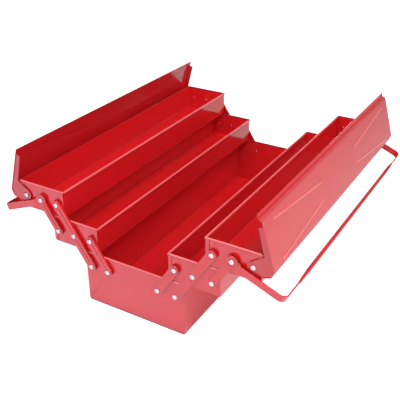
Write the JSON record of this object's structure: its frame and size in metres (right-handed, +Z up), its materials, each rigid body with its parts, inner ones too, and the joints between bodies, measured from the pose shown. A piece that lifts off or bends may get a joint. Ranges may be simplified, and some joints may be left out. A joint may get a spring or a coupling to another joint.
{
  "type": "cantilever tool box",
  "caption": "Long folded-steel tool box whose trays swing outwards on paired levers, with hinged lids and two swing-up bail handles, shown fully open.",
  "frame": {"origin": "centre of the underside of the base floor", "axes": "+X and -X are the ways the trays swing open, +Y runs along the box, +Z is up"},
  "size_m": [0.511, 0.5328, 0.2487],
  "materials": {
    "red_paint": "gloss",
    "nickel": "satin",
    "zinc_plate": "satin"
  },
  "bodies": {
    "base": {"base_trough": "red_paint", "base_near_end": "red_paint", "base_far_end": "red_paint", "base_rivets": "nickel", "base_spacers": "zinc_plate"},
    "right_long_levers": {"right_near_long_lever": "red_paint", "right_far_long_lever": "red_paint"},
    "right_short_levers": {"right_near_short_lever": "red_paint", "right_far_short_lever": "red_paint"},
    "right_lower_tray": {"right_lower_trough": "red_paint", "right_lower_near_end": "red_paint", "right_lower_far_end": "red_paint", "right_lower_rivets": "nickel", "right_lower_spacers": "zinc_plate"},
    "right_cranks": {"right_near_crank": "red_paint", "right_far_crank": "red_paint"},
    "right_upper_tray": {"right_upper_trough": "red_paint", "right_upper_near_end": "red_paint", "right_upper_far_end": "red_paint", "right_upper_rivets": "nickel", "right_upper_spacers": "zinc_plate"},
    "right_lid": {"right_lid": "red_paint"},
    "right_handle": {"right_handle": "red_paint", "right_grip": "red_paint"},
    "left_long_levers": {"left_near_long_lever": "red_paint", "left_far_long_lever": "red_paint"},
    "left_short_levers": {"left_near_short_lever": "red_paint", "left_far_short_lever": "red_paint"},
    "left_lower_tray": {"left_lower_trough": "red_paint", "left_lower_near_end": "red_paint", "left_lower_far_end": "red_paint", "left_lower_rivets": "nickel", "left_lower_spacers": "zinc_plate"},
    "left_cranks": {"left_near_crank": "red_paint", "left_far_crank": "red_paint"},
    "left_upper_tray": {"left_upper_trough": "red_paint", "left_upper_near_end": "red_paint", "left_upper_far_end": "red_paint", "left_upper_rivets": "nickel", "left_upper_spacers": "zinc_plate"},
    "left_lid": {"left_lid": "red_paint"},
    "left_handle": {"left_handle": "red_paint", "left_grip": "red_paint"}
  },
  "joints": [
    {"name": "right_swing", "type": "hinge", "parent": "base", "child": "right_long_levers", "pos_m": [0.07795, 0, 0.0707], "axis": [0, -1, 0], "range_deg": [0, 66.19]},
    {"name": "right_lower_tray_level", "type": "hinge", "parent": "right_long_levers", "child": "right_lower_tray", "pos_m": [0.10865, 0, 0.1178], "axis": [0, -1, 0], "range_deg": [-66.19, 0]},
    {"name": "right_upper_tray_level", "type": "hinge", "parent": "right_long_levers", "child": "right_upper_tray", "pos_m": [0.13935, 0, 0.1649], "axis": [0, -1, 0], "range_deg": [-66.19, 0]},
    {"name": "right_short_swing", "type": "hinge", "parent": "base", "child": "right_short_levers", "pos_m": [0.04655, 0, 0.0707], "axis": [0, -1, 0], "range_deg": [0, 66.19]},
    {"name": "right_crank_swing", "type": "hinge", "parent": "right_lower_tray", "child": "right_cranks", "pos_m": [0.14005, 0, 0.1178], "axis": [0, -1, 0], "range_deg": [0, 66.19]},
    {"name": "right_lid_hinge", "type": "hinge", "parent": "right_upper_tray", "child": "right_lid", "pos_m": [0.20215, 0, 0.1649], "axis": [0, -1, 0], "range_deg": [0, 73.3]},
    {"name": "right_handle_swing", "type": "hinge", "parent": "right_cranks", "child": "right_handle", "pos_m": [0.17075, 0, 0.1649], "axis": [0, -1, 0], "range_deg": [0, 74]},
    {"name": "left_swing", "type": "hinge", "parent": "base", "child": "left_long_levers", "pos_m": [-0.07795, 0, 0.0707], "axis": [0, 1, 0], "range_deg": [0, 66.19]},
    {"name": "left_lower_tray_level", "type": "hinge", "parent": "left_long_levers", "child": "left_lower_tray", "pos_m": [-0.10865, 0, 0.1178], "axis": [0, 1, 0], "range_deg": [-66.19, 0]},
    {"name": "left_upper_tray_level", "type": "hinge", "parent": "left_long_levers", "child": "left_upper_tray", "pos_m": [-0.13935, 0, 0.1649], "axis": [0, 1, 0], "range_deg": [-66.19, 0]},
    {"name": "left_short_swing", "type": "hinge", "parent": "base", "child": "left_short_levers", "pos_m": [-0.04655, 0, 0.0707], "axis": [0, 1, 0], "range_deg": [0, 66.19]},
    {"name": "left_crank_swing", "type": "hinge", "parent": "left_lower_tray", "child": "left_cranks", "pos_m": [-0.14005, 0, 0.1178], "axis": [0, 1, 0], "range_deg": [0, 66.19]},
    {"name": "left_lid_hinge", "type": "hinge", "parent": "left_upper_tray", "child": "left_lid", "pos_m": [-0.20215, 0, 0.1649], "axis": [0, 1, 0], "range_deg": [0, 73.3]},
    {"name": "left_handle_swing", "type": "hinge", "parent": "left_cranks", "child": "left_handle", "pos_m": [-0.17075, 0, 0.1649], "axis": [0, 1, 0], "range_deg": [0, 74]}
  ],
  "couplings": [
    {"joint": "right_lower_tray_level", "follows": "right_swing", "ratio": -1},
    {"joint": "right_upper_tray_level", "follows": "right_swing", "ratio": -1},
    {"joint": "right_short_swing", "follows": "right_swing", "ratio": 1},
    {"joint": "right_crank_swing", "follows": "right_swing", "ratio": 1},
    {"joint": "left_lower_tray_level", "follows": "left_swing", "ratio": -1},
    {"joint": "left_upper_tray_level", "follows": "left_swing", "ratio": -1},
    {"joint": "left_short_swing", "follows": "left_swing", "ratio": 1},
    {"joint": "left_crank_swing", "follows": "left_swing", "ratio": 1}
  ]
}
